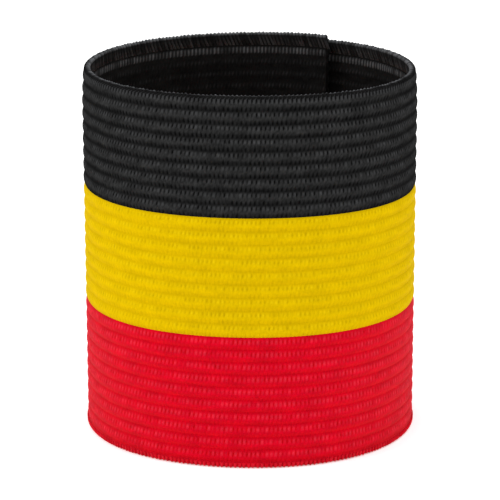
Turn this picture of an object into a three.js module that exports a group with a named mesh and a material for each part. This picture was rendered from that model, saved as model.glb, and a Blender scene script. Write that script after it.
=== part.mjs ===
// Captain armband: one wide ribbed elastic tape, wound into a ring, whose two ends overlap at the back.
// Millimetres, +Z up. The ring stands on its lower edge, its front faces -Y and the arm goes through along Z.
// The origin is on the surface that it stands on, below the middle of the ring.

import * as THREE from "three";

// Tape
const TAPE_WIDTH = 80;
const TAPE_THICKNESS = 1.5;
const SELVEDGE_WIDTH = 1.3;
const RIB_DEPTH = 0.4;
const EDGE_ROUNDING = 0.3;

// Ring: the radius is the mean one, outside, over the crowns of the ribs
const RING_RADIUS = 36.75;
const INNER_END_ANGLE = 57;
const INNER_END_LIFT = 1.7;
const END_CORNER = 0.8;

// The outer end lies over the inner one for the length of the overlap. The inner end leaves the ring's line
// for the inside, and rises, over a longer stretch.
const OVERLAP_LENGTH = 38;
const LEAVING_LENGTH = 84;

// Top edge, which curls in a little
const CURL_DEPTH = 0.4;
const CURL_HEIGHT = 8.5;

// Closure patch, hidden between the two layers of the overlap
const PATCH_THICKNESS = 1.3;
const PATCH_GAP = 0.3;
const PATCH_END_MARGIN = 5;
const PATCH_EDGE_MARGIN = 10;

// Fineness of the facets: sections in a full turn, how close to an end one of them may lie as a share of
// their spacing, and steps down the smooth inner face of the curl
const SECTIONS_PER_TURN = 45;
const CLOSEST_SHARE = 0.25;
const CURL_STEPS = 3;

// Stripes woven into the tape, from the lower selvedge up. A share is of the ribbed width.
const STRIPES = {
  red: { share: 0.349, ribs: 10 },
  yellow: { share: 0.327, ribs: 9 },
  black: { share: 0.324, ribs: 9 },
};

// The groove between two ribs takes this share of a rib on each side of its floor.
const GROOVE_SHARE = 0.24;

// Waves that keep the soft ring from being a true circle. Each row has the number of lobes, then how high
// they stand as a share of the ring's radius and where a lobe is in degrees from +X, at the base and the rim.
const WAVES = [
  { lobes: 2, baseShare: 0.013, baseAt: -49, rimShare: 0.01, rimAt: -22 },
  { lobes: 3, baseShare: 0.01, baseAt: 8, rimShare: 0.005, rimAt: 88 },
  { lobes: 4, baseShare: 0.01, baseAt: 36, rimShare: 0.0105, rimAt: 47 },
];

const TAPE_FINISH = { color: 0x26262a, roughness: 0.9, metalness: 0 };
const PATCH_FINISH = { color: 0x1b1b1d, roughness: 0.85, metalness: 0 };

const ribbedWidth = TAPE_WIDTH - SELVEDGE_WIDTH;
const layerOffset = TAPE_THICKNESS + PATCH_THICKNESS + 2 * PATCH_GAP;
const middleRadius = RING_RADIUS - TAPE_THICKNESS / 2;
const degreesPerMm = 180 / (Math.PI * middleRadius);
const outerEndAngle = INNER_END_ANGLE + 360 + OVERLAP_LENGTH * degreesPerMm;

function radians(degrees) {
  return THREE.MathUtils.degToRad(degrees);
}

// 0 before the start, 1 after the end, and a smooth step between them
function ease(value, start, end) {
  return THREE.MathUtils.smoothstep(value, start, end);
}

// How far the ring's outside stands from its axis at an angle and a height
function ringRadius(angle, height) {
  const rise = height / TAPE_WIDTH;
  let radius = RING_RADIUS;
  for (const { lobes, baseShare, baseAt, rimShare, rimAt } of WAVES) {
    const base = baseShare * Math.cos(lobes * radians(angle - baseAt));
    const rim = rimShare * Math.cos(lobes * radians(angle - rimAt));
    radius += RING_RADIUS * (base * (1 - rise) + rim * rise);
  }
  return radius;
}

// How far the top edge leans in at a height on the tape
function curl(height) {
  const share = Math.max(0, 1 - (TAPE_WIDTH - height) / CURL_HEIGHT);
  return CURL_DEPTH * share * share;
}

// 1 at the inner end, falling smoothly to 0 where the tape has joined the ring's line
function leaving(turned) {
  return 1 - ease(turned, INNER_END_ANGLE, INNER_END_ANGLE + LEAVING_LENGTH * degreesPerMm);
}

// How far the tape runs inside the ring's line. The inner end is a whole layer inside it. The outer end keeps
// its distance over the inner layer, so it stands outside the line by what the inner layer has come out.
function layerInset(turned) {
  const covered = turned - 360;
  const outset = covered > INNER_END_ANGLE ? 1 - leaving(covered) : 0;
  return layerOffset * (leaving(turned) - outset);
}

// The inner end rides up a little, as a tape does that is wound slightly askew.
function lift(turned) {
  return INNER_END_LIFT * leaving(turned);
}

// A point of the tape, from how far round it has turned in degrees, its depth below the crowns and its height
function tapePoint(turned, depth, height) {
  const radius = ringRadius(turned, height) - layerInset(turned) - curl(height) - depth;
  const angle = radians(turned);
  return new THREE.Vector3(radius * Math.cos(angle), radius * Math.sin(angle), height + lift(turned));
}

// The section through the tape, as depth below the crowns and height: up the outer face, down the inner one
function tapeProfile() {
  const points = [
    new THREE.Vector2(EDGE_ROUNDING, 0),
    new THREE.Vector2(0, EDGE_ROUNDING),
    new THREE.Vector2(0, SELVEDGE_WIDTH * (1 - GROOVE_SHARE)),
  ];
  let height = SELVEDGE_WIDTH;
  for (const { share, ribs } of Object.values(STRIPES)) {
    const pitch = (share * ribbedWidth) / ribs;
    for (let rib = 0; rib < ribs; rib++) {
      points.push(new THREE.Vector2(RIB_DEPTH, height));
      points.push(new THREE.Vector2(0, height + GROOVE_SHARE * pitch));
      points.push(new THREE.Vector2(0, height + (1 - GROOVE_SHARE) * pitch));
      height += pitch;
    }
  }
  points.push(new THREE.Vector2(EDGE_ROUNDING, TAPE_WIDTH));
  points.push(new THREE.Vector2(TAPE_THICKNESS - EDGE_ROUNDING, TAPE_WIDTH));
  points.push(new THREE.Vector2(TAPE_THICKNESS, TAPE_WIDTH - EDGE_ROUNDING));
  for (let step = 1; step <= CURL_STEPS; step++) {
    points.push(new THREE.Vector2(TAPE_THICKNESS, TAPE_WIDTH - (CURL_HEIGHT * step) / CURL_STEPS));
  }
  points.push(new THREE.Vector2(TAPE_THICKNESS, EDGE_ROUNDING));
  points.push(new THREE.Vector2(TAPE_THICKNESS - EDGE_ROUNDING, 0));
  return points;
}

// The angles of the sections from a start to an end: both ends, and every whole step of the turn between them
function sectionAngles(start, end) {
  const step = 360 / SECTIONS_PER_TURN;
  const angles = [start];
  for (let index = Math.ceil(start / step); index * step < end; index++) {
    const clear = Math.min(index * step - start, end - index * step);
    if (clear > CLOSEST_SHARE * step) {
      angles.push(index * step);
    }
  }
  angles.push(end);
  return angles;
}

// A closed mesh through sections that all have the same outline, with a flat cap on each end
function loft(outline, sections) {
  const count = outline.length;
  const indices = [];
  for (let row = 0; row + 1 < sections.length; row++) {
    for (let column = 0; column < count; column++) {
      const here = row * count + column;
      const next = row * count + ((column + 1) % count);
      indices.push(here, here + count, next, next, here + count, next + count);
    }
  }
  const last = (sections.length - 1) * count;
  for (const [a, b, c] of THREE.ShapeUtils.triangulateShape(outline, [])) {
    indices.push(c, b, a, last + a, last + b, last + c);
  }
  const geometry = new THREE.BufferGeometry().setFromPoints(sections.flat());
  geometry.setIndex(indices);
  geometry.computeVertexNormals();
  return geometry;
}

function meshOf(name, geometry, finish) {
  const mesh = new THREE.Mesh(geometry, new THREE.MeshStandardMaterial(finish));
  mesh.name = name;
  return mesh;
}

// The whole tape, with its cut ends' corners taken off
function elasticTape() {
  const outline = tapeProfile();
  const corner = END_CORNER * degreesPerMm;
  const angles = sectionAngles(INNER_END_ANGLE + corner, outerEndAngle - corner);
  const middle = TAPE_WIDTH / 2;
  const squeezed = 1 - END_CORNER / middle;
  const section = (turned, scale) =>
    outline.map(({ x, y }) => tapePoint(turned, x, middle + (y - middle) * scale));
  const sections = [
    section(INNER_END_ANGLE, squeezed),
    ...angles.map((turned) => section(turned, 1)),
    section(outerEndAngle, squeezed),
  ];
  return meshOf("elastic_tape", loft(outline, sections), TAPE_FINISH);
}

// The fastening between the layers, which follows the outer layer's inner face and the inner layer's crowns
function closurePatch() {
  const outside = TAPE_THICKNESS + PATCH_GAP;
  const inside = outside + PATCH_THICKNESS;
  const top = TAPE_WIDTH - PATCH_EDGE_MARGIN;
  const outline = [
    new THREE.Vector2(outside, PATCH_EDGE_MARGIN),
    new THREE.Vector2(outside, top),
    new THREE.Vector2(inside, top),
    new THREE.Vector2(inside, PATCH_EDGE_MARGIN),
  ];
  const margin = PATCH_END_MARGIN * degreesPerMm;
  const angles = sectionAngles(INNER_END_ANGLE + 360 + margin, outerEndAngle - margin);
  const sections = angles.map((turned) => outline.map(({ x, y }) => tapePoint(turned, x, y)));
  return meshOf("closure_patch", loft(outline, sections), PATCH_FINISH);
}

const armband = new THREE.Group();
armband.add(elasticTape(), closurePatch());

const middle = new THREE.Box3().setFromObject(armband).getCenter(new THREE.Vector3());
armband.position.set(-middle.x, -middle.y, 0);

export default armband;
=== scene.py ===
# %% [markdown]
# A captain's armband is one wide ribbed elastic tape, woven in three bands of colour and wound into a ring.
# This lesson makes the tape as a ribbon weaver would see it: flat first, rib by rib and stitch by stitch, and
# then winds it round. What is made flat is easy to measure, and one function winds every piece the same way.

# %% Load the frame
import math

import bpy
import numpy as np
from mathutils import Matrix, Vector


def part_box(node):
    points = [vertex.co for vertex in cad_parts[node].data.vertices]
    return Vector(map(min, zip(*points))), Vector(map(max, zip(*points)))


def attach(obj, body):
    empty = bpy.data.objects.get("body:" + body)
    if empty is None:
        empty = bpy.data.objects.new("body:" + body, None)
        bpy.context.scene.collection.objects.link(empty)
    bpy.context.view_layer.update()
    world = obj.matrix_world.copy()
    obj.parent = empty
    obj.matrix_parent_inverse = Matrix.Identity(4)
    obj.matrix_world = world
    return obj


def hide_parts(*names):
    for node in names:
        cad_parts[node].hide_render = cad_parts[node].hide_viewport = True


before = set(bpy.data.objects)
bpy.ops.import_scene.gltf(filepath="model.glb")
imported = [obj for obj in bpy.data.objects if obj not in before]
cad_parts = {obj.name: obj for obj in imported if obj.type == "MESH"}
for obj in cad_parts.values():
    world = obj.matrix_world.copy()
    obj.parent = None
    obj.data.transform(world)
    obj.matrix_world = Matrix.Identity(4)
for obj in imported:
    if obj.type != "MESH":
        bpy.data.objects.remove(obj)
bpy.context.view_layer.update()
MM = 0.001


def in_mm(lengths):
    return [round(length / MM, 2) for length in lengths]


tape_low, tape_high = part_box("elastic_tape")
print("the tape's box is", in_mm(tape_high - tape_low), "mm")

# %% [markdown]
# The camera stands a little over half a metre in front of the band and looks down on it at about 15 degrees,
# so that the front shows whole and the inside of the back shows above the front rim. A long lens keeps the
# sides upright. Its place and turn are set as a matrix, because a tilt, a turn and a slight roll follow each
# other.

# %% Camera
CAMERA_PLACE = Vector((0.00115, -0.6099, 0.1964))
CAMERA_DOWN = math.radians(14.52)
CAMERA_TURN = 0.0017
CAMERA_ROLL = 0.0025
CAMERA_LENS = 204.55
SENSOR_WIDTH = 36
NEAREST_SEEN = 0.01

lens = bpy.data.cameras.new("studio_camera")
lens.lens = CAMERA_LENS
lens.sensor_width = SENSOR_WIDTH
lens.clip_start = NEAREST_SEEN
camera = bpy.data.objects.new("studio_camera", lens)
bpy.context.collection.objects.link(camera)
camera.matrix_world = (
    Matrix.Translation(CAMERA_PLACE)
    @ Matrix.Rotation(CAMERA_TURN, 4, "Z")
    @ Matrix.Rotation(math.pi / 2 - CAMERA_DOWN, 4, "X")
    @ Matrix.Rotation(CAMERA_ROLL, 4, "Z")
)
bpy.context.scene.camera = camera
print("the camera is", round(CAMERA_PLACE.length, 3), "m from the foot of the band")

# %% [markdown]
# The ring is soft, so it isn't a true circle. Three waves with two, three and four lobes push its wall in and
# out, a little differently at the base and at the rim. The inner end of the tape lies a layer further in, and
# the top edge curls in slightly. These are the sizes of the imported model, so the looks fit its collision.
# Only the corners of the cut ends are sharper here. Each stripe then has its share of the ribbed width, its
# count of ribs, and what its weave looks like: how high on a rib the upper holes are and how far they reach,
# how deep the lower ones are beside them, with their painted shade, and how strong the painted highlight on
# its stitches is.

# %% The tape's sizes, in millimetres
TAPE_WIDTH = 80.0
TAPE_THICKNESS = 1.5
SELVEDGE_WIDTH = 1.3
RIB_DEPTH = 0.4
RING_RADIUS = 36.75
INNER_END_ANGLE = 57.0
INNER_END_LIFT = 1.7
END_CORNER = 0.15
OVERLAP_LENGTH = 38.0
LEAVING_LENGTH = 84.0
CURL_DEPTH = 0.4
CURL_HEIGHT = 8.5
PATCH_THICKNESS = 1.3
PATCH_GAP = 0.3
WAVES = [
    {"lobes": 2, "base_share": 0.013, "base_at": -49, "rim_share": 0.010, "rim_at": -22},
    {"lobes": 3, "base_share": 0.010, "base_at": 8, "rim_share": 0.005, "rim_at": 88},
    {"lobes": 4, "base_share": 0.010, "base_at": 36, "rim_share": 0.0105, "rim_at": 47},
]
# tick_light is the strength of a painted highlight on the stitches; lower_holes also scales the painted shade
# in the lower holes
STRIPES = {
    "red": {
        "share": 0.349, "ribs": 10,
        "holes_at": 0.66, "reach": 0.15, "lower_holes": 0.35, "tick_light": 0.5,
    },
    "yellow": {
        "share": 0.327, "ribs": 9,
        "holes_at": 0.71, "reach": 0.13, "lower_holes": 0.7, "tick_light": 0.5,
    },
    "black": {
        "share": 0.324, "ribs": 9,
        "holes_at": 0.76, "reach": 0.12, "lower_holes": 0.85, "tick_light": 0.22,
    },
}
LOWEST_STRIPE = "red"
HIGHEST_STRIPE = "black"

ribbed_width = TAPE_WIDTH - SELVEDGE_WIDTH
layer_offset = TAPE_THICKNESS + PATCH_THICKNESS + 2 * PATCH_GAP
degrees_per_mm = math.degrees(1 / (RING_RADIUS - TAPE_THICKNESS / 2))
tape_length = 360 / degrees_per_mm + OVERLAP_LENGTH
print("the flat tape is", TAPE_WIDTH, "by", round(tape_length, 1), "mm")

# %% [markdown]
# Two things say where the tape runs. One is the ring's own line, with its waves. The other is how far a place
# near the inner end has left that line for the inside, which falls to nothing along a smooth step. Where the
# tape has gone once round, its outer end keeps the same distance over the inner layer.

# %% The ring's line
def ease(value, start, end):
    """0 before the start, 1 after the end, and a smooth step between them"""
    share = np.clip((value - start) / (end - start), 0, 1)
    return share * share * (3 - 2 * share)


def ring_radius(angle, height):
    """How far the ring's outside stands from its axis"""
    rise = height / TAPE_WIDTH
    radius = np.full_like(angle, RING_RADIUS)
    for wave in WAVES:
        base = wave["base_share"] * np.cos(wave["lobes"] * np.radians(angle - wave["base_at"]))
        rim = wave["rim_share"] * np.cos(wave["lobes"] * np.radians(angle - wave["rim_at"]))
        radius += RING_RADIUS * (base * (1 - rise) + rim * rise)
    return radius


def leaving(turned):
    """1 at the inner end, falling to 0 where the tape has joined the ring's line"""
    return 1 - ease(turned, INNER_END_ANGLE, INNER_END_ANGLE + LEAVING_LENGTH * degrees_per_mm)


front_radius = ring_radius(np.array([-90.0]), 0)[0]
print("the foot of the ring's front is", round(front_radius, 2), "mm from the axis")

# %% [markdown]
# A place on the flat tape is how far along it lies, how deep below the outer face and how high above the
# lower edge. Winding turns the first into an angle and the second into a distance from the ring's axis. The
# frame's origin is below the middle of the ring's box, so the wound tape is moved until the two middles meet.

# %% Winding
SAMPLES_ALONG = 600
SAMPLES_UP = 30
ON_THE_GROUND = (1, 1, 0)


def wound(along, depth, height):
    """Where a point of the flat tape comes to lie in the ring, from its place along the tape, its depth below
    the outer face and its height above the lower edge"""
    to_end = np.clip(np.minimum(along, tape_length - along) / END_CORNER, 0, 1)
    corner = END_CORNER * (1 - np.sqrt(1 - (1 - to_end) ** 2))
    middle = TAPE_WIDTH / 2
    height = middle + (height - middle) * (1 - corner / middle)
    turned = INNER_END_ANGLE + along * degrees_per_mm
    covered = turned - 360
    outset = np.where(covered > INNER_END_ANGLE, 1 - leaving(covered), 0)
    inset = layer_offset * (leaving(turned) - outset)
    curl = CURL_DEPTH * np.clip(1 - (TAPE_WIDTH - height) / CURL_HEIGHT, 0, None) ** 2
    radius = ring_radius(turned, height) - inset - curl - depth
    angle = np.radians(turned)
    lift = INNER_END_LIFT * leaving(turned)
    return np.stack([radius * np.cos(angle), radius * np.sin(angle), height + lift], axis=-1)


def ring_middle():
    """The middle of the wound tape's box seen from above, which stands on the frame's own middle"""
    along, height = np.meshgrid(
        np.linspace(0, tape_length, SAMPLES_ALONG), np.linspace(0, TAPE_WIDTH, SAMPLES_UP)
    )
    points = wound(along, np.zeros_like(along), height).reshape(-1, 3)
    return (points.min(0) + points.max(0)) / 2 * ON_THE_GROUND


frame_middle = (np.array(tape_low) + np.array(tape_high)) / 2 * ON_THE_GROUND
shift = frame_middle / MM - ring_middle()


def read(items, field, width=1, kind=float):
    """One field of all a mesh's points, edges or faces, as a list or as a table with a row for each"""
    values = np.empty(len(items) * width, kind)
    items.foreach_get(field, values)
    return values if width == 1 else values.reshape(-1, width)


def wind(piece):
    """Winds a piece that is modelled on the flat tape, whose X runs along it, Y into it and Z up it"""
    vertices = piece.data.vertices
    along, depth, height = (read(vertices, "co", 3) / MM).T
    places = (wound(along, depth, height) + shift) * MM
    vertices.foreach_set("co", places.ravel())
    piece.data.update()


print("the ring's middle is moved by", np.round(shift[:2], 3), "mm")

# %% [markdown]
# The weave has ribs that run round the band, over the rubber threads inside, and short upright stitches that
# cross each rib about every 0.94 mm. Beside each stitch the yarn dives in and leaves a small hole: one row of
# holes on a rib's upper shoulder, with the stitches standing between them, and a fainter row at its foot, a
# third of a stitch to the side. No stitch is quite like the next: they drift, lean and differ in depth. A grid
# with three columns to a stitch and eight rows to a rib is just fine enough to carry all that as true relief.
# The holes also get painted shade, and the stitches between them a painted highlight. These few functions are
# its patterns, across a rib and along it.

# %% The weave's patterns
STITCH_PITCH = 0.94
COLUMNS_PER_STITCH = 3
ARCH_POWER = 2
HOLE_POWER = 1.5

stitches = round(tape_length / STITCH_PITCH)
columns = stitches * COLUMNS_PER_STITCH
most_ribs = max(stripe["ribs"] for stripe in STRIPES.values())
print(stitches, "stitches round the tape, so", columns, "columns")


def arch(phase):
    """A rib's rounded section: 0 in the grooves at both sides and 1 along the crown"""
    return 1 - np.abs(2 * phase - 1) ** ARCH_POWER


def near(phase, place, reach):
    """1 at a place on the rib, fading out over the reach on both sides"""
    return math.exp(-(((phase - place) / reach) ** 2))


def holes(count):
    """1 at each whole count of stitches, and nearly 0 between them"""
    return (0.5 + 0.5 * np.cos(2 * math.pi * count)) ** HOLE_POWER


def wavering(random, reach):
    """Random numbers from -1 to 1 for every rib and column, smoothed along it over a reach in stitches"""
    noise = random.uniform(-1, 1, (most_ribs, columns + 1))
    window = np.hanning(reach * COLUMNS_PER_STITCH + 2)
    smooth = np.array([np.convolve(line, window, "same") for line in noise])
    return smooth / np.abs(smooth).max()


# %% [markdown]
# A section through the tape is a list of rows. Each has a height, a depth and its place on the rib, and says
# how much painted crown light it takes, how strongly the two rows of holes and the stitches of the inner face
# show there, and how much painted highlight it takes on the inner face and the rim. What a row takes of the
# crown colour is painted light, and the darker groove colour under it is painted shade. The inner face takes
# little crown colour, which is painted shade inside the ring, and a little more near the rim. On the inner
# face the stitches are a row of short strokes near the top of each rib, longer and with a stronger painted
# highlight in the first row under the upper edge. Both edges of the tape are rounded, to carry their loops.

# %% Rows of the section
OUTER_PHASES = (0, 0.1, 0.24, 0.4, 0.55, 0.69, 0.81, 0.92)
# Painted light and shade: how much of the lighter crown colour each row of a rib takes, the rest being the
# darker groove colour
OUTER_CROWN = (0.2, 0.15, 0.38, 0.74, 0.96, 0.95, 0.75, 0.45)
LOWER_HOLES_AT = 0.15
LOWER_HOLES_REACH = 0.17
INNER_RIB_DEPTH = 0.14
INNER_STITCH_RISE = 0.09
INNER_STITCHES = ((0, 0), (0.5, 0), (0.75, 1))
FIRST_INNER_STITCHES = ((0, 0), (0.34, 0), (0.48, 0.7), (0.68, 1), (0.83, 0.8), (0.96, 0))
# Painted highlight on the inner stitches, strongest in the first row under the rim
STITCH_LIGHT = 0.1
FIRST_STITCH_LIGHT = 0.85
# Painted shade on the inner face, which takes little crown colour, and a little more painted light near the
# rim
INNER_CROWN = 0.15
TOP_INNER_CROWN = 0.3
# Near the edges, crown is painted light, and holes sets the depth, painted shade and painted highlight of the
# upper row
UPPER_EDGE_STEPS = [
    {"from_edge": 1.25, "depth": 0.04, "crown": 1.0, "holes": 0.3},
    {"from_edge": 0.8, "depth": 0.06, "crown": 0.8, "holes": 1.3},
    {"from_edge": 0.4, "depth": 0.1, "crown": 0.6, "holes": 1.3},
    {"from_edge": 0.06, "depth": 0.4, "crown": 0.4, "holes": 0.0},
]
LOWER_EDGE_STEPS = [
    {"from_edge": 1.0, "depth": 0.06, "crown": 0.9, "holes": 0.4},
    {"from_edge": 0.6, "depth": 0.12, "crown": 0.6, "holes": 1.0},
    {"from_edge": 0.15, "depth": 0.5, "crown": 0.6, "holes": 0.0},
]


def row(height, depth, rib=0, phase=0, crown=0, upper=0, lower=0, stitch=0, light=0):
    return (height, depth, rib, phase, crown, upper, lower, stitch, light)


def outer_row(height, index, rib, name):
    phase = OUTER_PHASES[index]
    upper = near(phase, STRIPES[name]["holes_at"], STRIPES[name]["reach"])
    lower = STRIPES[name]["lower_holes"] * near(phase, LOWER_HOLES_AT, LOWER_HOLES_REACH)
    return row(height, RIB_DEPTH * (1 - arch(phase)), rib, phase, OUTER_CROWN[index], upper, lower)


def inner_row(height, phase, rib, stitch, first=False, near_top=False):
    depth = TAPE_THICKNESS - INNER_RIB_DEPTH * (1 - arch(phase)) - INNER_STITCH_RISE
    light = stitch * (FIRST_STITCH_LIGHT if first else STITCH_LIGHT)
    crown = TOP_INNER_CROWN if near_top else INNER_CROWN
    return row(height, depth, rib, phase, crown=crown, stitch=stitch, light=light)


def outer_edge(edge, into, steps):
    """The rows of the outer face round an edge of the tape. into is 1 at the lower edge, where the tape lies
    above the edge, and -1 at the upper one."""
    return [
        row(edge + into * step["from_edge"], step["depth"], crown=step["crown"], upper=step["holes"])
        for step in steps
    ]


def inner_edge(edge, into, steps):
    """The same rows on the inner face, which are plain"""
    return [
        row(edge + into * step["from_edge"], TAPE_THICKNESS - step["depth"], crown=TOP_INNER_CROWN)
        for step in steps
    ]


def rows_below(height, rows):
    return [one for one in rows if one[0] < height]


print("the upper edge is rounded in", len(UPPER_EDGE_STEPS), "steps, the lower one in", len(LOWER_EDGE_STEPS))

# %% [markdown]
# Each colour is dressed as a piece of its own, because each is another yarn, but the pieces meet in the same
# row of points, so that the eye sees one cloth. A stripe's rows go up the outer face and down the inner one.
# A low ridge between the loops carries a painted highlight along the rim's inner side. At the foot the first
# groove has no floor, because no dark line shows there.

# %% The section of a stripe
# The ridge's light is a painted highlight
RIM_RIDGE = [
    {"above_edge": 0.18, "depth": 1.2, "crown": 1.0, "light": 1.0},
    {"above_edge": 0.1, "depth": 0.95, "crown": 0.4, "light": 0.0},
]


def rib_pitch(name):
    return STRIPES[name]["share"] * ribbed_width / STRIPES[name]["ribs"]


def stripe_heights(name):
    """Where a stripe starts and ends on the tape, with the stripes below it counted up from the selvedge"""
    base = SELVEDGE_WIDTH
    for other in STRIPES:
        if other == name:
            break
        base += STRIPES[other]["share"] * ribbed_width
    return base, base + STRIPES[name]["ribs"] * rib_pitch(name)


def section(name):
    """The closed section of a stripe, as a table of rows"""
    base, top = stripe_heights(name)
    pitch = rib_pitch(name)
    ribs = STRIPES[name]["ribs"]
    outer = []
    inner = []
    for rib in range(ribs):
        near_top = name == HIGHEST_STRIPE and rib >= ribs - 2
        first = near_top and rib == ribs - 2
        for index, phase in enumerate(OUTER_PHASES):
            outer.append(outer_row(base + (rib + phase) * pitch, index, rib, name))
        for phase, stitch in FIRST_INNER_STITCHES if first else INNER_STITCHES:
            inner.append(inner_row(base + (rib + phase) * pitch, phase, rib, stitch, first, near_top))
    if name == HIGHEST_STRIPE:
        last = TAPE_WIDTH - UPPER_EDGE_STEPS[0]["from_edge"]
        outer = rows_below(last, outer) + outer_edge(TAPE_WIDTH, -1, UPPER_EDGE_STEPS)
        inner = rows_below(last, inner) + inner_edge(TAPE_WIDTH, -1, UPPER_EDGE_STEPS[:-1])
        for step in RIM_RIDGE:
            height = TAPE_WIDTH + step["above_edge"]
            inner.append(row(height, step["depth"], crown=step["crown"], light=step["light"]))
    else:
        outer.append(outer_row(top, 0, ribs - 1, name))
        inner.append(inner_row(top, 0, ribs - 1, 0))
    if name == LOWEST_STRIPE:
        outer = outer_edge(0, 1, LOWER_EDGE_STEPS)[::-1] + outer[1:]
        inner = inner_edge(0, 1, LOWER_EDGE_STEPS)[::-1] + inner
    return np.array(outer + inner[::-1])


for name in STRIPES:
    base, top = stripe_heights(name)
    pitch = rib_pitch(name)
    print(name, "from", round(base, 2), "to", round(top, 2), "mm, with a rib every", round(pitch, 2), "mm")

# %% [markdown]
# A mesh carries more than its points. The grid's own UV map is kept for baking, folded in three lengths so
# that it fills a square, with the two cut ends laid in the margin on the right. A second map holds the place
# on the flat tape in mm, so that a pattern keeps its true size. Shares on the points say how much painted
# crown light, painted hole shade and painted highlight each one takes. The edges at a stripe's border are
# marked, so that the smooth shading stops there.

# %% Maps and marks
BAKE_LENGTHS = 3
BAKE_MARGIN = 0.012
END_LEFT = 0.2
END_BREADTH = 0.6
END_FOOT = 0.05
END_HEIGHT = 0.4
END_SPACING = 0.5
TOLERANCE = 0.001


def add_tape_map(mesh, places):
    corners = read(mesh.loops, "vertex_index", kind=int)
    tape_map = mesh.uv_layers.new(name="tape_mm")
    tape_map.uv.foreach_set("vector", places[corners][:, [0, 2]].ravel())


def fold_bake_map(mesh, places):
    """Lays the grid's map out in a few lengths above each other, and the cut ends beside them"""
    layer = mesh.uv_layers[0]
    layer.name = "OFBake"
    uv = read(layer.uv, "vector", 2)
    starts = read(mesh.polygons, "loop_start", kind=int)
    totals = read(mesh.polygons, "loop_total", kind=int)
    middle = np.add.reduceat(uv[:, 0], starts) / totals
    length = np.repeat(np.minimum((middle * BAKE_LENGTHS).astype(int), BAKE_LENGTHS - 1), totals)
    room = 1 - 2 * BAKE_MARGIN
    folded = np.empty_like(uv)
    folded[:, 0] = BAKE_MARGIN + room * (uv[:, 0] * BAKE_LENGTHS - length)
    folded[:, 1] = (length + BAKE_MARGIN + room * uv[:, 1]) / BAKE_LENGTHS

    along, depth, height = places[read(mesh.loops, "vertex_index", kind=int)].T
    is_end = np.repeat(totals > 4, totals)
    far_end = along > tape_length / 2
    across = (END_LEFT + END_BREADTH * depth / TAPE_THICKNESS) * BAKE_MARGIN
    up = END_FOOT + END_HEIGHT * height / TAPE_WIDTH + END_SPACING * far_end
    folded[is_end] = np.stack([1 - across, up], axis=-1)[is_end]
    layer.uv.foreach_set("vector", folded.ravel())


def set_shares(mesh, **shares):
    for name, values in shares.items():
        attribute = mesh.attributes.new(name, "FLOAT", "POINT")
        attribute.data.foreach_set("value", np.clip(values, 0, 1))


def sharpen_borders(mesh, places, heights):
    """Marks the edges that lie at one of the heights, or round a cut end"""
    ends = read(mesh.edges, "vertices", 2, int)
    sharp = np.zeros(len(mesh.edges), bool)
    for axis, values in ((2, heights), (0, (0, tape_length))):
        for value in values:
            on = np.abs(places[:, axis] - value) < TOLERANCE
            sharp |= on[ends].all(axis=1)
    mesh.edges.foreach_set("use_edge_sharp", sharp)


print("the bake map is folded in", BAKE_LENGTHS, "lengths of", round(tape_length / BAKE_LENGTHS, 1), "mm")

# %% [markdown]
# A stripe starts as a flat grid: its columns run along the tape, and its rows go round the section. Every
# point is then set to its place in the weave. Each stitch has its own depth, whole patches of the cloth are
# deeper than others, and a fine grain lies over all. The painted highlights of the stitches stand halfway
# between the holes. Points drift along the tape only inside a rib and away from the cut ends, which keeps the
# stripes joined and the ends straight.

# %% The weave of a stripe
UPPER_HOLE_DEPTH = 0.17
LOWER_HOLE_DEPTH = 0.15
LOWER_HOLES_SHIFT = 1 / 3
INNER_STITCHES_SHIFT = 1 / 3
UNEVENNESS = 0.65
PATCH_SHARE = 0.5
PATCH_REACH = 10
DRIFT = 0.13
DRIFT_REACH = 5
LEAN = 0.35
LEAN_REACH = 8
GRAIN_SHARE = 0.5
GRAIN_RELIEF = 0.02
LOWER_TICK_SHARE = 0.26
RIM_BEADS = 0.7
WEAVE_SEED = 7
KINDS = 4
UPPER, LOWER, TICK, INNER = range(KINDS)


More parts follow.
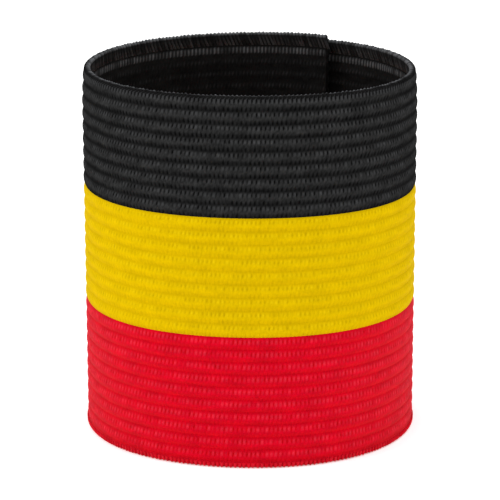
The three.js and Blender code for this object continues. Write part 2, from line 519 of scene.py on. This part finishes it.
def weave(name, rows, column, line):
    """Where each point of a stripe's grid lies on the flat tape in mm, and how much painted crown light,
    painted hole shade and painted highlight it takes, from the grid's column and the row of the section that
    it is on"""
    height, depth, rib, phase, crown, upper, lower, stitch, light = rows[line].T
    on_rib = rib.astype(int)
    inside_rib = arch(phase)
    upper_count = column / COLUMNS_PER_STITCH
    lower_count = upper_count + LOWER_HOLES_SHIFT
    inner_count = upper_count + INNER_STITCHES_SHIFT
    random = np.random.default_rng(WEAVE_SEED + len(name))
    single = random.uniform(-1, 1, (KINDS, most_ribs, stitches + 2))
    patches = PATCH_SHARE * UNEVENNESS * wavering(random, PATCH_REACH)[on_rib, column]

    def uneven(kind, count):
        change = patches + UNEVENNESS * single[kind, on_rib, np.rint(count).astype(int)]
        return 1 + change * (inside_rib > 0)

    upper_holes = upper * holes(upper_count) * uneven(UPPER, upper_count)
    lower_holes = lower * holes(lower_count) * uneven(LOWER, lower_count)
    ticks = upper * (1 - holes(upper_count)) * uneven(TICK, upper_count - 0.5)
    lower_ticks = lower * (1 - holes(lower_count)) * uneven(LOWER, lower_count - 0.5)
    inner_stitches = holes(inner_count) * uneven(INNER, inner_count)
    grain = random.uniform(-1, 1, (len(rows), columns + 1))[line, column] * inside_rib
    sunk = UPPER_HOLE_DEPTH * upper_holes + LOWER_HOLE_DEPTH * lower_holes
    depths = depth + sunk + INNER_STITCH_RISE * stitch * inner_stitches + GRAIN_RELIEF * grain

    moved = DRIFT * wavering(random, DRIFT_REACH)[on_rib, column]
    moved += LEAN * (phase - 0.5) * wavering(random, LEAN_REACH)[on_rib, column]
    free = np.clip(np.minimum(column, columns - column) / COLUMNS_PER_STITCH, 0, 1)
    along = column / columns * tape_length + moved * inside_rib * free

    # Painted highlight on the outer stitches, between the holes
    outer_light = STRIPES[name]["tick_light"] * (ticks + LOWER_TICK_SHARE * lower_ticks)
    # The painted highlight of the rim ridge, broken where the loops stand
    beads = 1 - RIM_BEADS * holes(upper_count) * uneven(INNER, upper_count)
    inner_light = light * np.where(stitch > 0, inner_stitches, beads)
    # Painted light and shade for the yarn's colour: crown light, shade in the holes, and highlights on the
    # stitches and rim
    shares = {
        "crown": crown * (1 + GRAIN_SHARE * grain),
        "hollow": upper_holes + lower_holes,
        "tick": outer_light + inner_light,
    }
    return np.stack([along, depths, height], axis=-1), shares


# %% [markdown]
# The grid's last row comes to lie on its first, and the two are merged, which closes the tape like a
# flattened tube. The cut ends are filled while the tape is still flat. Only then is it wound.

# %% The three stripes
def select_none():
    bpy.ops.object.select_all(action="DESELECT")


def close_mesh():
    """Fills all open borders of the piece that is being edited, and turns its faces outwards"""
    bpy.ops.mesh.select_all(action="SELECT")
    bpy.ops.mesh.fill_holes(sides=0)
    bpy.ops.mesh.select_all(action="SELECT")
    bpy.ops.mesh.normals_make_consistent(inside=False)


def count_triangles(piece):
    return sum(len(face.vertices) - 2 for face in piece.data.polygons)


def weave_stripe(name):
    rows = section(name)
    count = len(rows)
    select_none()
    bpy.ops.mesh.primitive_grid_add(x_subdivisions=columns, y_subdivisions=count, size=2)
    stripe = bpy.context.object
    mesh = stripe.data
    stripe.name = mesh.name = name + "_stripe"
    flat = read(mesh.vertices, "co", 3)
    column = np.rint((flat[:, 0] + 1) / 2 * columns).astype(int)
    line = np.rint((flat[:, 1] + 1) / 2 * count).astype(int) % count
    places, shares = weave(name, rows, column, line)
    mesh.vertices.foreach_set("co", (places * MM).ravel())
    set_shares(mesh, **shares)

    bpy.ops.object.mode_set(mode="EDIT")
    bpy.ops.mesh.select_all(action="SELECT")
    bpy.ops.mesh.remove_doubles(threshold=TOLERANCE * MM)
    close_mesh()
    bpy.ops.object.mode_set(mode="OBJECT")

    places = read(mesh.vertices, "co", 3) / MM
    base, top = stripe_heights(name)
    borders = [height for height in (base, top) if height not in (SELVEDGE_WIDTH, TAPE_WIDTH)]
    sharpen_borders(mesh, places, borders)
    fold_bake_map(mesh, places)
    add_tape_map(mesh, places)
    bpy.ops.object.shade_smooth(keep_sharp_edges=True)
    wind(stripe)
    print(stripe.name, "has", count_triangles(stripe), "triangles")
    return stripe


stripes = {name: weave_stripe(name) for name in STRIPES}

# %% [markdown]
# At both edges of the tape the weft yarn turns round and runs back, and each turn stands out as a small loop.
# Against a pale background they give the rim its fine teeth. One loop is a torus, cut in half, with its two
# cut faces drawn out as legs. The leg on the inner face is long and leans. The bow is a little fuller than
# half a circle, because the yarn is pulled tight round the tape's edge.

# %% One loop
LOOP_YARN = 0.7
LOOP_INSIDE = 1.6
LOOP_SIDES = 6
LOOP_STEPS = 12
LOOP_FULLNESS = 4
LOOP_SLANT = 0.15
OUTER_LEG = 0.3
INNER_LEG = 2.3
LEG_LEAN = 0.42
LEG_SINK = 0.12


def cut(place, across, **options):
    """Cuts the whole piece that is being edited through a place, across a direction"""
    bpy.ops.mesh.select_all(action="SELECT")
    bpy.ops.mesh.bisect(plane_co=place, plane_no=across, **options)


def half_loop(name, centre, radius, out):
    """A torus round the centre, cut in half, its cut faces drawn out as short legs"""
    select_none()
    bpy.ops.mesh.primitive_torus_add(
        major_segments=LOOP_STEPS,
        minor_segments=LOOP_SIDES,
        major_radius=radius * MM,
        minor_radius=LOOP_YARN / 2 * MM,
        location=centre,
        rotation=(0, math.pi / 2, 0),
    )
    loop = bpy.context.object
    loop.name = loop.data.name = name
    bpy.ops.object.transform_apply(location=True, rotation=True)
    bpy.ops.object.mode_set(mode="EDIT")
    cut(centre, (0, 0, out), clear_inner=True)
    bpy.ops.mesh.select_all(action="DESELECT")
    bpy.ops.mesh.select_non_manifold()
    bpy.ops.mesh.extrude_region_move(TRANSFORM_OT_translate={"value": (0, 0, -out * OUTER_LEG * MM)})
    bpy.ops.object.mode_set(mode="OBJECT")
    return loop


def shape_loop(loop, centre, outside, reach, out, spread):
    """Lengthens the inner leg, fills out the bow, spreads it towards the inner face and leans it"""
    foot = centre.z - out * OUTER_LEG * MM
    for vertex in loop.data.vertices:
        inside = vertex.co.y > centre.y
        if inside and abs(vertex.co.z - foot) < TOLERANCE * MM:
            vertex.co.z -= out * (INNER_LEG - OUTER_LEG) * MM
            vertex.co.y -= LEG_SINK * MM
        spoke = Vector((vertex.co.y - centre.y, vertex.co.z - centre.z))
        if out * spoke.y > 0:
            way = spoke.normalized()
            fuller = (abs(way.x) ** LOOP_FULLNESS + abs(way.y) ** LOOP_FULLNESS) ** (-1 / LOOP_FULLNESS)
            vertex.co.yz = (centre.y + spoke.x * fuller, centre.z + spoke.y * fuller)
        vertex.co.x *= 1 + spread * (vertex.co.y / MM - outside) / (2 * reach)
        below = max(0, out * (centre.z - vertex.co.z))
        vertex.co.x += LOOP_SLANT * (vertex.co.y - centre.y) / TAPE_THICKNESS
        vertex.co.x -= LEG_LEAN * below if inside else 0
    bpy.ops.object.mode_set(mode="EDIT")
    close_mesh()
    bpy.ops.object.mode_set(mode="OBJECT")


# %% [markdown]
# An array sets one loop at each stitch, and then every loop is pushed a little along the tape, made taller or
# shorter, and given its own random strength of painted highlight. No loop of the lower edge is made taller,
# because the band stands on it. A painted highlight lies on the side of the loops that looks inwards and up at
# the rim, and on the outer side at the foot. Down the inner leg the painted highlight grows stronger towards
# its end.

# %% The rows of loops
UPPER_EDGE = {"edge": TAPE_WIDTH, "out": 1, "proud": 0.38, "outside": 0.12, "spread": 0.15}
LOWER_EDGE = {"edge": 0, "out": -1, "proud": 0, "outside": -0.2, "spread": 0}
# Painted highlight on the loops: the way their lit side faces, how sharply it falls off, and down the legs;
# LOOP_CROWN is painted crown light
UPPER_LIGHT_SIDE = (0.7, 0.85)
LOWER_LIGHT_SIDE = (-0.7, 0.1)
LIGHT_POWER = 4
LOOP_UNEVENNESS = 0.07
LEG_UNEVENNESS = 0.25
LEG_LIGHT = 0.48
LEG_TOP_SHARE = 0.2
LOOP_CROWN = 0.18


def edge_loops(name, edge, out, proud, outside, spread, light_side):
    """A row of loops round an edge of the flat tape. out is 1 at the upper edge and -1 at the lower one, the
    loops stand proud of the edge by so much, their outer sides lie at the depth outside, and light_side is the
    way, inwards and out, that their painted highlight faces."""
    reach = (LOOP_INSIDE - outside) / 2
    centre = Vector((0, outside + reach, edge + out * (proud - reach))) * MM
    loops = half_loop(name, centre, reach - LOOP_YARN / 2, out)
    shape_loop(loops, centre, outside, reach, out, spread)
    points = len(loops.data.vertices)
    spacing = tape_length / stitches
    array = loops.modifiers.new("row", "ARRAY")
    array.use_relative_offset = False
    array.use_constant_offset = True
    array.constant_offset_displace = (spacing * MM, 0, 0)
    array.count = stitches
    bpy.ops.object.modifier_apply(modifier=array.name)

    places = read(loops.data.vertices, "co", 3) / MM
    random = np.random.default_rng(WEAVE_SEED)
    shade, along, tall, lean = np.repeat(random.uniform(-1, 1, (4, stitches)), points, axis=1)
    spokes = (places[:, 1:] - np.array(centre)[1:] / MM) * (1, out) / reach
    above = np.clip(spokes[:, 1], 0, None)
    below = np.clip(-spokes[:, 1] * reach, 0, None)
    leaning = LEG_UNEVENNESS * lean * below / INNER_LEG
    tallest = 0 if proud == 0 else 1
    places[:, 0] += spacing / 2 + LOOP_UNEVENNESS * along + leaning
    places[:, 2] += out * LOOP_UNEVENNESS * above * np.minimum(tall, tallest)
    loops.data.vertices.foreach_set("co", (places * MM).ravel())

    # Painted highlight on the loops' lit side and down the inner leg; the legs take no crown light, which is
    # painted shade
    on_leg = (above == 0) & (spokes[:, 0] > 0)
    facing = np.clip(spokes @ np.array(light_side), 0, 1) ** LIGHT_POWER
    leg_light = LEG_LIGHT * (LEG_TOP_SHARE + (1 - LEG_TOP_SHARE) * below / INNER_LEG)
    tick = np.where(on_leg, leg_light, facing) * (1 + UNEVENNESS * shade)
    crown = np.where(on_leg, 0, LOOP_CROWN)
    set_shares(loops.data, crown=crown, hollow=np.zeros(len(places)), tick=tick)
    add_tape_map(loops.data, places)
    bpy.ops.object.shade_smooth()
    wind(loops)
    print(name, "has", count_triangles(loops), "triangles")
    return loops


upper_loops = edge_loops("upper_edge_loops", light_side=UPPER_LIGHT_SIDE, **UPPER_EDGE)
lower_loops = edge_loops("lower_edge_loops", light_side=LOWER_LIGHT_SIDE, **LOWER_EDGE)

# %% [markdown]
# Between the two layers of the overlap lies the fastening, a strip of hooks pressed into a strip of pile.
# Only its edges can be seen, from above or below. It is a slab, cut across into short lengths so that it can
# bend, with a groove run in all round where the two backings part. A small bevel breaks its edges.

# %% Fastening
PATCH_END_MARGIN = 5.0
PATCH_EDGE_MARGIN = 10.0
PATCH_STEPS = 24
PATCH_BEVEL = 0.12
PATCH_BEVEL_STEPS = 2
PATCH_SEAM = 0.4
PATCH_SEAM_DEPTH = 0.5
PATCH_SHARPEST_SMOOTH = math.radians(50)


def fastening():
    select_none()
    start = 360 / degrees_per_mm + PATCH_END_MARGIN
    end = tape_length - PATCH_END_MARGIN
    depth = TAPE_THICKNESS + PATCH_GAP + PATCH_THICKNESS / 2
    centre = Vector(((start + end) / 2, depth, TAPE_WIDTH / 2)) * MM
    bpy.ops.mesh.primitive_cube_add(size=MM, location=centre)
    patch = bpy.context.object
    patch.name = patch.data.name = "hook_and_loop_patch"
    patch.scale = (end - start, PATCH_THICKNESS, TAPE_WIDTH - 2 * PATCH_EDGE_MARGIN)
    bpy.ops.object.transform_apply(location=True, scale=True)
    bpy.ops.object.mode_set(mode="EDIT")
    for side in (-1, 1):
        cut((0, (depth + side * PATCH_SEAM / 2) * MM, 0), (0, 1, 0))
    bpy.ops.object.mode_set(mode="OBJECT")
    for face in patch.data.polygons:
        face.select = abs(face.center.y / MM - depth) < PATCH_SEAM / 2
    bpy.ops.object.mode_set(mode="EDIT")
    sunk = {"value": -PATCH_SEAM_DEPTH * MM, "use_even_offset": True}
    bpy.ops.mesh.extrude_region_shrink_fatten(TRANSFORM_OT_shrink_fatten=sunk)
    bpy.ops.object.mode_set(mode="OBJECT")
    bevel = patch.modifiers.new("broken_edges", "BEVEL")
    bevel.width = PATCH_BEVEL * MM
    bevel.segments = PATCH_BEVEL_STEPS
    bpy.ops.object.modifier_apply(modifier=bevel.name)
    bpy.ops.object.mode_set(mode="EDIT")
    for step in range(1, PATCH_STEPS):
        cut(((start + (end - start) * step / PATCH_STEPS) * MM, 0, 0), (1, 0, 0))
    bpy.ops.object.mode_set(mode="OBJECT")
    bpy.ops.object.shade_smooth_by_angle(angle=PATCH_SHARPEST_SMOOTH)
    wind(patch)
    print("the fastening is", round(end - start, 1), "mm long, with", count_triangles(patch), "triangles")
    return patch


patch = fastening()

# %% [markdown]
# All materials are small trees of shader nodes, so they share a few helpers: one adds a node, one sets or
# links its inputs, and one turns a colour as it is usually written into the linear one that the shaders
# reckon with.

# %% Shader helpers
MIX_A, MIX_B, MIX_RESULT = 6, 7, 2


def linear(colour):
    """The linear colour of an sRGB one that is written in hex"""
    channels = [int(colour[i : i + 2], 16) / 255 for i in (1, 3, 5)]
    return [c / 12.92 if c <= 0.04045 else ((c + 0.055) / 1.055) ** 2.4 for c in channels] + [1]


def set_inputs(tree, node, inputs):
    """Sets a shader node's inputs. A value that is another node's socket is linked to the input."""
    for name, value in inputs.items():
        if isinstance(value, bpy.types.NodeSocket):
            tree.links.new(value, node.inputs[name])
        else:
            node.inputs[name].default_value = value


def add_node(tree, kind, inputs=None, **settings):
    node = tree.nodes.new("ShaderNode" + kind)
    for name, value in settings.items():
        setattr(node, name, value)
    set_inputs(tree, node, inputs or {})
    return node


def mix_colours(tree, share, first, second):
    """A Mix node has sockets for every kind of value, so the ones for colours go by number."""
    mixed = {"Factor": share, MIX_A: first, MIX_B: second}
    return add_node(tree, "Mix", mixed, data_type="RGBA").outputs[MIX_RESULT]


def map_range(tree, value, source, target):
    inputs = {"Value": value, "From Min": source[0], "From Max": source[1]}
    inputs.update({"To Min": target[0], "To Max": target[1]})
    return add_node(tree, "MapRange", inputs).outputs["Result"]


def new_material(name):
    """A new material, with its tree and the shader in it"""
    material = bpy.data.materials.new(name)
    material.use_nodes = True
    return material, material.node_tree, material.node_tree.nodes["Principled BSDF"]


print("middle grey, #808080, is", round(linear("#808080")[0], 3), "in linear light")

# %% [markdown]
# The yarn is bulked polyester filament, coloured in the dye bath before it is woven, and dull, because its
# crimped filaments scatter the light. Light and shade are painted into its colour: painted shade in the
# grooves and where the yarn dives into the weave, painted light on the crowns, and a painted highlight where a
# stitch stands out. One function mixes the three painted tones over the darker groove colour. It reads how
# much painted crown light, painted highlight and painted hole shade each point takes. A fine noise, stretched
# along the filaments and a quarter of a millimetre wide, makes each bundle a little different, in its colour,
# its dullness and its height. The filaments are finer than that in the real yarn, but anything finer wouldn't
# show. The black yarn has no shine of its own, because at a glancing view that would turn the sides of the
# band grey.

# %% Yarn
FILAMENT_WIDTH = 0.28
FILAMENT_LENGTH = 0.9
CLOUD_WIDTH = 5.0
CLOUD_HEIGHT = 1.5
NOISE_RANGE = (0.6, 1.4)
FILAMENT_RANGE = (0.2, 0.8)
YARN_ROUGHNESS = (0.7, 0.9)
YARN_BUMP = 0.3
YARN_RELIEF = 0.1
YARN_IOR = 1.5
# Each yarn's four tones: a groove colour darkened as painted shade, a lighter crown colour that is painted
# light, a stitch colour that is a painted highlight, and a hole colour that is painted shade.
DYES_AND_PAINTED_LIGHT = {
    "red": {"groove": "#C20012", "crown": "#C90020", "tick": "#DC3144", "hollow": "#BC0008"},
    "yellow": {"groove": "#C8A500", "crown": "#D3B000", "tick": "#DEBF0C", "hollow": "#C09E00"},
    "black": {"groove": "#0E0E0E", "crown": "#2B2B2B", "tick": "#5B5C5E", "hollow": "#060606"},
}
FINISHES = {
    "red": {"specular": 0.01, "sheen": 0.05, "unevenness": 0.2},
    "yellow": {"specular": 0.01, "sheen": 0.0, "unevenness": 0.1},
    "black": {"specular": 0.0, "sheen": 0.0, "unevenness": 0.4},
}


def polyester_yarn(name, dye_and_painted_light, specular, sheen, unevenness):
    material, tree, shader = new_material(name)
    colour = linear(dye_and_painted_light["groove"])
    for share in ("crown", "tick", "hollow"):
        amount = add_node(tree, "Attribute", attribute_name=share).outputs["Fac"]
        colour = mix_colours(tree, amount, colour, linear(dye_and_painted_light[share]))

    place = add_node(tree, "UVMap", uv_map="tape_mm").outputs["UV"]
    patterns = []
    for width, height in ((FILAMENT_WIDTH, FILAMENT_LENGTH), (CLOUD_WIDTH, CLOUD_HEIGHT)):
        scaled = add_node(tree, "Mapping", {"Vector": place, "Scale": (1 / width, 1 / height, 1)})
        texture = {"Vector": scaled.outputs["Vector"], "Scale": 1.0, "Detail": 1.0}
        patterns.append(add_node(tree, "TexNoise", texture).outputs["Fac"])
    filaments, clouds = patterns
    both = add_node(tree, "Math", {0: filaments, 1: clouds}, operation="ADD").outputs[0]
    strength = map_range(tree, both, NOISE_RANGE, (1 - unevenness, 1 + unevenness))
    colour_with_painted_light = add_node(tree, "VectorMath", {0: colour, "Scale": strength}, operation="SCALE")
    bump = {"Height": filaments, "Strength": YARN_BUMP, "Distance": YARN_RELIEF * MM}
    finish = {
        "Base Color": colour_with_painted_light.outputs[0],
        "Roughness": map_range(tree, filaments, FILAMENT_RANGE, YARN_ROUGHNESS),
        "Normal": add_node(tree, "Bump", bump).outputs["Normal"],
        "IOR": YARN_IOR,
        "Specular IOR Level": specular,
        "Sheen Weight": sheen,
    }
    set_inputs(tree, shader, finish)
    return material


yarns = {name: polyester_yarn(name + "_polyester_yarn", DYES_AND_PAINTED_LIGHT[name], **FINISHES[name]) for name in STRIPES}
for name, stripe in stripes.items():
    stripe.data.materials.append(yarns[name])
upper_loops.data.materials.append(yarns[HIGHEST_STRIPE])
lower_loops.data.materials.append(yarns[LOWEST_STRIPE])
print("the yarns are", [yarn.name for yarn in yarns.values()])

# %% [markdown]
# The fastening is black nylon, woven and then cut or looped into a pile of stiff hooks. It has a little more
# shine than the yarn, and its pile makes a fine grain of about a third of a millimetre.

# %% Hook and loop material
PILE_GRAIN = 0.35
PILE_BUMP = 0.6
PILE_RELIEF = 0.2
NYLON_ROUGHNESS = 0.65
NYLON_IOR = 1.53
NYLON_SPECULAR = 0.3

nylon, tree, shader = new_material("black_nylon_hook_and_loop")
place = add_node(tree, "TexCoord").outputs["Object"]
grain = add_node(tree, "TexVoronoi", {"Vector": place, "Scale": 1 / (PILE_GRAIN * MM)}).outputs["Distance"]
bump = {"Height": grain, "Strength": PILE_BUMP, "Distance": PILE_RELIEF * MM}
finish = {
    "Base Color": mix_colours(tree, grain, linear("#2A2A2C"), linear("#0E0E0F")),
    "Normal": add_node(tree, "Bump", bump).outputs["Normal"],
    "Roughness": NYLON_ROUGHNESS,
    "IOR": NYLON_IOR,
    "Specular IOR Level": NYLON_SPECULAR,
}
set_inputs(tree, shader, finish)
patch.data.materials.append(nylon)
print(patch.name, "is made of", nylon.name)

# %% [markdown]
# The studio is a white room, with an even pale world and a floor of white acrylic. The floor is lit a little
# from below, as on a light table, so that the band casts no dark shadow.

# %% Room and floor
FLOOR_SIZE = 6
FLOOR_GLOW = 0.25
FLOOR_ROUGHNESS = 0.9
ROOM_LIGHT = 0.5

world = bpy.data.worlds.new("white_room")
bpy.context.scene.world = world
world.use_nodes = True
room = {"Color": linear("#FFFFFF"), "Strength": ROOM_LIGHT}
set_inputs(world.node_tree, world.node_tree.nodes["Background"], room)
bpy.context.scene.view_settings.view_transform = "Standard"

select_none()
bpy.ops.mesh.primitive_plane_add(size=FLOOR_SIZE)
floor = bpy.context.object
floor.name = floor.data.name = "studio_floor"
acrylic, tree, shader = new_material("white_acrylic_light_table")
finish = {
    "Base Color": linear("#FFFFFF"),
    "Roughness": FLOOR_ROUGHNESS,
    "Emission Color": linear("#FFFFFF"),
    "Emission Strength": FLOOR_GLOW,
}
set_inputs(tree, shader, finish)
floor.data.materials.append(acrylic)
print("the floor is", FLOOR_SIZE, "m wide")

# %% [markdown]
# Four large soft lamps stand round the band: one at each side, the left one the stronger, one in front, and
# one above that lights the rim and the inside of the back. All look at the middle of the band.

# %% Lamps
LAMPS_AIM = Vector((0, 0, 0.04))
LAMPS = [
    {"name": "key_softbox", "place": (-1.3, -0.35, 0.8), "size": 1.0, "power": 8.5},
    {"name": "fill_softbox", "place": (1.3, -0.35, 0.8), "size": 1.0, "power": 6.4},
    {"name": "front_softbox", "place": (-0.3, -1.2, 1.4), "size": 1.0, "power": 4.5},
    {"name": "top_softbox", "place": (0.0, 0.2, 1.6), "size": 1.2, "power": 14},
]

for lamp in LAMPS:
    light = bpy.data.lights.new(lamp["name"], "AREA")
    light.shape = "SQUARE"
    light.size = lamp["size"]
    light.energy = lamp["power"]
    holder = bpy.data.objects.new(lamp["name"], light)
    holder.location = lamp["place"]
    holder.rotation_euler = (LAMPS_AIM - holder.location).to_track_quat("-Z", "Y").to_euler()
    bpy.context.collection.objects.link(holder)
print(len(LAMPS), "lamps give", round(sum(lamp["power"] for lamp in LAMPS), 1), "W")

# %% [markdown]
# The last step ties every piece to the imported model: what it rides on, and which solid it stands for, whose
# plain shape is then hidden.

# %% Ties to the imported model
for name, stripe in stripes.items():
    base, top = stripe_heights(name)
    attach(stripe, "root")
    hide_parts("elastic_tape")
for loops, yarn in ((upper_loops, "black_yarn"), (lower_loops, "red_yarn")):
    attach(loops, "root")
    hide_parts("elastic_tape")
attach(patch, "root")
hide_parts("closure_patch")
